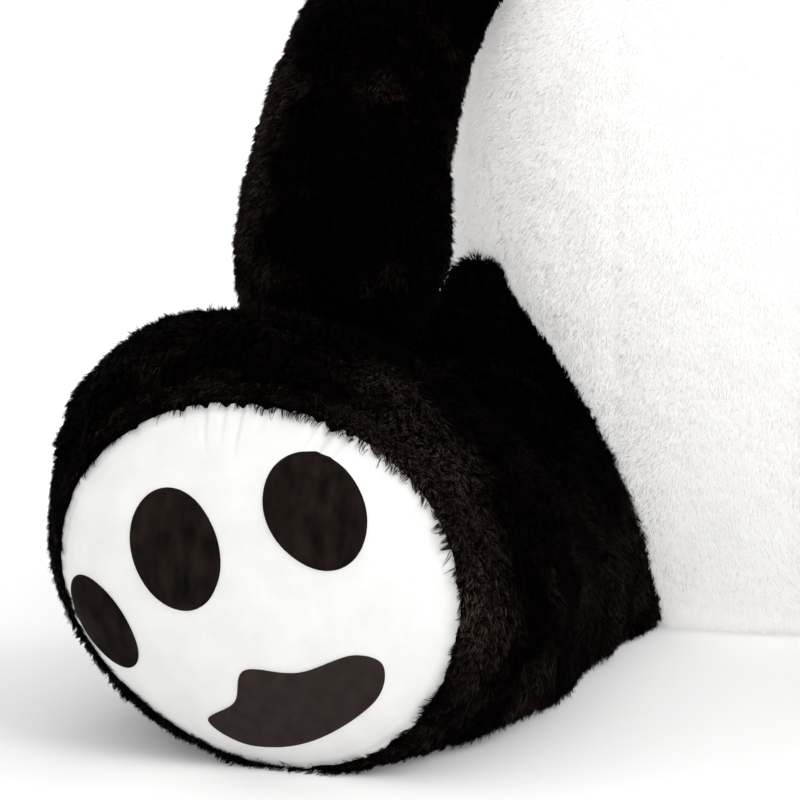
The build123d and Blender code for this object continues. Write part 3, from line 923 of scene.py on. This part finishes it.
def along_and_across(points):
    """How far places lie along the right leg from the hip, and across it."""
    return (points - HIP) @ LEG_FORWARD, (points - HIP) @ LEG_ACROSS


def trim_foot(points, forward, across):
    """Cuts the foot's outline as unevenly as it is sewn, and exactly like the sole's at their seam."""
    at_seam = ramp(forward, 0.525, 0.548)
    near_foot = ramp(forward, 0.36, 0.48) * (1 - at_seam)
    for trims, share in ((FOOT_TRIMS, near_foot), (SOLE_TRIMS, at_seam)):
        new_across, new_height = trimmed(across, points[:, 2], trims)
        points += LEG_ACROSS * ((new_across - across) * share)[:, None]
        points[:, 2] += (new_height - points[:, 2]) * share


def settle_on_floor(points, outward, forward):
    """Spreads the leg's inner side on the floor and presses the top of the thigh down."""
    inner = np.clip(outward @ LEG_ACROSS, 0, 1) * (1 - ramp(points[:, 2], 0.02, 0.16))
    spread = sum(far * hump(forward, middle, half_length) for middle, half_length, far in FLOOR_SPREADS)
    points += LEG_ACROSS * (inner * spread)[:, None]
    points[:, 2] -= THIGH_SINK * ramp(points[:, 2], 0.22, 0.28) * (1 - ramp(forward, 0.10, 0.22))


def roll_edge(points, outward, forward):
    """Rolls the leg's edge out behind the sole's seam and draws its closed end in."""
    around_leg = unit(outward - LEG_FORWARD * (outward @ LEG_FORWARD)[:, None])
    seam_roll = SEAM_ROLL * hump(forward, SOLE_DISTANCE - 0.004, 0.012)
    points += around_leg * seam_roll[:, None]
    behind_sole = ramp(forward, SOLE_DISTANCE + 0.001, SOLE_DISTANCE + 0.010)
    points -= LEG_FORWARD * (SEAM_TUCK * behind_sole)[:, None]


def shape_leg(mesh):
    """Shapes the right leg's skin at the foot, on the floor and behind the sole."""
    points, outward = coordinates(mesh), normals(mesh)
    forward, across = along_and_across(points)
    trim_foot(points, forward, across)
    settle_on_floor(points, outward, forward)
    roll_edge(points, outward, forward)
    set_coordinates(mesh, points)


leg = skin("right_leg_plush", "right_leg_filling", leg_seams, BLACK_BACKING, seed=7)
shape_leg(leg.data)
sole_pieces = make_sole()


def off_the_sole(root, normal):
    """Leg pile grows behind the sole's seam, off the floor."""
    return ((root - HIP) @ LEG_FORWARD < SOLE_DISTANCE + 0.002) & (root[:, 2] > 0.002)


def arm_painted_sheen(root, normal):
    """Painted sheen along the arm's outer side, where it faces away from the body."""
    return 0.5 * ramp(-normal[:, 0], 0.45, 0.95) - 0.1


def leg_painted_sheen(root, normal):
    """Painted sheen on the inner side of the foot, just behind the sole's seam, and a little along the inner
    leg.
    """
    forward, across = along_and_across(root)
    ridge = ramp(forward, 0.43, 0.50) * ramp(across, 0.02, 0.10) * ramp(root[:, 2], 0.06, 0.14)
    inner = ramp(normal @ LEG_ACROSS, 0.3, 0.8) * (1 - ramp(root[:, 2], 0.10, 0.18))
    return 0.75 * ridge + 0.20 * inner - 0.15


arm_pile = plant(
    "right_arm_pile", arm, BLACK_PILE, BLACK_FIBRE, comb_arm, count=330000, radius=0.00032, seed=16,
    painted_sheen=arm_painted_sheen,
)
ear_pile = plant(
    "right_ear_pile", ear, 0.85 * BLACK_PILE, BLACK_FIBRE, comb_ear, count=60000, radius=0.00030, seed=17
)
leg_pile = plant(
    "right_leg_pile", leg, BLACK_PILE, BLACK_FIBRE, comb_leg, count=560000, radius=0.00032, seed=18,
    keep=off_the_sole, painted_sheen=leg_painted_sheen,
)


def beside_sole(root, normal):
    """The strip of leg just behind the sole's seam."""
    forward = (root - HIP) @ LEG_FORWARD
    return (forward > SOLE_DISTANCE - 0.018) & (forward < SOLE_DISTANCE) & (root[:, 2] > 0.002)


def comb_over_sole(root, normal):
    """Down along the seam, and over it where the fabric is less tight: at the foot's top and outer side."""
    inward = unit(SOLE_CENTRE - root)
    along = np.cross(inward, LEG_FORWARD)
    along *= np.sign(-along[:, 2:])
    loose = ramp(-(root - SOLE_CENTRE) @ LEG_ACROSS, -0.02, 0.10)[:, None]
    return (0.35 + 0.55 * loose) * LEG_FORWARD + 0.9 * along + 0.30 * loose * inward


def uneven_collar(root):
    """The collar's pile changes in length in small steps along the seam."""
    return 0.62 + 0.22 * grain(root, 0.011, 51)


collar = plant(
    "right_sole_collar", leg, BLACK_PILE, RIM_FIBRE, comb_over_sole, count=1500000, radius=0.00036, seed=20,
    lift=0.35, keep=beside_sole, clump=0.006, tufting=0.4, longer=uneven_collar,
)
limbs = {
    "arm": (arm, arm_pile, ("arm_front_panel", "arm_back_panel", "arm_filling")),
    "ear": (ear, ear_pile, ("ear_front", "ear_back", "ear_filling")),
    "leg": (leg, leg_pile, ("leg_outer_panel", "leg_inner_panel", "leg_filling")),
}


def mirrored_pile(pile, name, parent):
    """The left twin of a right pile."""
    fibres = pile.data.copy()
    places = np.empty(len(fibres.points) * 3, np.float32)
    fibres.attributes["position"].data.foreach_get("vector", places)
    places[0::3] *= -1
    fibres.attributes["position"].data.foreach_set("vector", places)
    twin = bpy.data.objects.new(name, fibres)
    bpy.context.scene.collection.objects.link(twin)
    twin.parent = parent
    return twin


for limb, (piece, pile, nodes) in limbs.items():
    twin = mirrored(piece, f"left_{limb}_plush")
    mirrored_pile(pile, f"left_{limb}_pile", twin)
    if limb == "leg":
        mirrored_pile(collar, "left_sole_collar", twin)
    for side, shown in (("right", piece), ("left", twin)):
        dress(shown, f"{side}_{limb}", "black_plush", *[f"{side}_{node}" for node in nodes], fill=0.85)
for node, piece in sole_pieces.items():
    twin = mirrored(piece, f"left_{node}_cloth")
    slot = "sole_fabric" if node == "sole" else "pad_fabric"
    for side, shown in (("right", piece), ("left", twin)):
        dress(shown, f"{side}_leg", slot, f"{side}_{node}", fill=0.5)

# Eye patches: thin plush lenses under the eyes
patch = body_mesh("right_eye_patch_plush", "right_eye_patch", 0.0018)
patch.data.materials.clear()
patch.data.materials.append(BLACK_BACKING)
patch_pile = plant(
    "right_eye_patch_pile", patch, 0.7 * BLACK_PILE, BLACK_FIBRE, comb_from_face,
    count=26000, radius=0.00028, seed=19,
)
patch_twin = mirrored(patch, "left_eye_patch_plush")
mirrored_pile(patch_pile, "left_eye_patch_pile", patch_twin)
for side, shown in (("right", patch), ("left", patch_twin)):
    dress(shown, "head", "black_plush", f"{side}_eye_patch")

# CAD solids that stay in sight
for node, material in (
    ("nose", GLOSSY_BLACK), ("right_eye", GLOSSY_BLACK), ("left_eye", GLOSSY_BLACK), ("mouth_stitch", THREAD),
    ("nose_washer", WASHER_WHITE), ("right_eye_washer", WASHER_WHITE), ("left_eye_washer", WASHER_WHITE),
):
    for material_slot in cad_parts[node].material_slots:
        material_slot.material = material


# ---------------------------------------------------------------- floor, lights and camera
def floor_with_painted_glow():
    """A wide pale floor that glows, painted light: least at a point left of the right foot, a painted shadow
    pool, and more further off.
    """
    material, nodes, links, shader = new_material("pale_floor")
    varied_colour(nodes, links, shader, (0.835, 0.83, 0.827), (0.855, 0.85, 0.847), 0.8)
    shader.inputs["Roughness"].default_value = 0.8
    shader.inputs["Specular IOR Level"].default_value = 0.1
    shader.inputs["Emission Color"].default_value = (1, 1, 1, 1)
    # Painted light and shade: glow that grows with distance from a point left of the foot.
    place = nodes.new("ShaderNodeTexCoord")
    painted_shadow_pool = nodes.new("ShaderNodeMapping")
    painted_shadow_pool.vector_type = "TEXTURE"
    painted_shadow_pool.inputs["Location"].default_value = (-0.75, -0.5, 0)
    painted_shadow_pool.inputs["Scale"].default_value = (1.4, 1.4, 1.4)
    nearness = nodes.new("ShaderNodeTexGradient")
    nearness.gradient_type = "SPHERICAL"
    painted_glow_strength = nodes.new("ShaderNodeMapRange")
    painted_glow_strength.inputs["To Min"].default_value = 0.28
    painted_glow_strength.inputs["To Max"].default_value = 0.03
    links.new(place.outputs["Object"], painted_shadow_pool.inputs["Vector"])
    links.new(painted_shadow_pool.outputs["Vector"], nearness.inputs["Vector"])
    links.new(nearness.outputs["Fac"], painted_glow_strength.inputs["Value"])
    links.new(painted_glow_strength.outputs["Result"], shader.inputs["Emission Strength"])
    corners = [(-30, -30, 0), (30, -30, 0), (30, 30, 0), (-30, 30, 0)]
    floor = mesh_piece("floor", corners, [(0, 1, 2, 3)], material)


def soft_light(name, place, target, size, power):
    """A square soft box."""
    light = bpy.data.lights.new(name, "AREA")
    light.shape = "SQUARE"
    light.size = size
    light.energy = power
    lamp = bpy.data.objects.new(name, light)
    lamp.location = place
    lamp.rotation_euler = (Vector(target) - Vector(place)).to_track_quat("-Z", "Y").to_euler()
    bpy.context.scene.collection.objects.link(lamp)


floor_with_painted_glow()
soft_light("key", (1.8, -2.0, 2.7), (0, -0.2, 0.1), 1.5, 40)
soft_light("front", (-0.3, -3.8, 0.9), (-0.2, 0, 0.4), 2.2, 27)
soft_light("rim", (-0.6, 2.8, 3.0), (0, 0, 0.6), 2.0, 12)

world = bpy.data.worlds.new("white_studio")
world.use_nodes = True
world.node_tree.nodes["Background"].inputs["Color"].default_value = (1, 1, 1, 1)
world.node_tree.nodes["Background"].inputs["Strength"].default_value = 1.0
bpy.context.scene.world = world
bpy.context.scene.view_settings.view_transform = "Standard"

camera = bpy.data.cameras.new("camera")
camera.lens = CAMERA_LENS
camera.sensor_width = 36.0
viewer = bpy.data.objects.new("camera", camera)
viewer.location = CAMERA_PLACE
viewer.rotation_euler = Vector(CAMERA_LOOK).to_track_quat("-Z", "Y").to_euler()
bpy.context.scene.collection.objects.link(viewer)
bpy.context.scene.camera = viewer
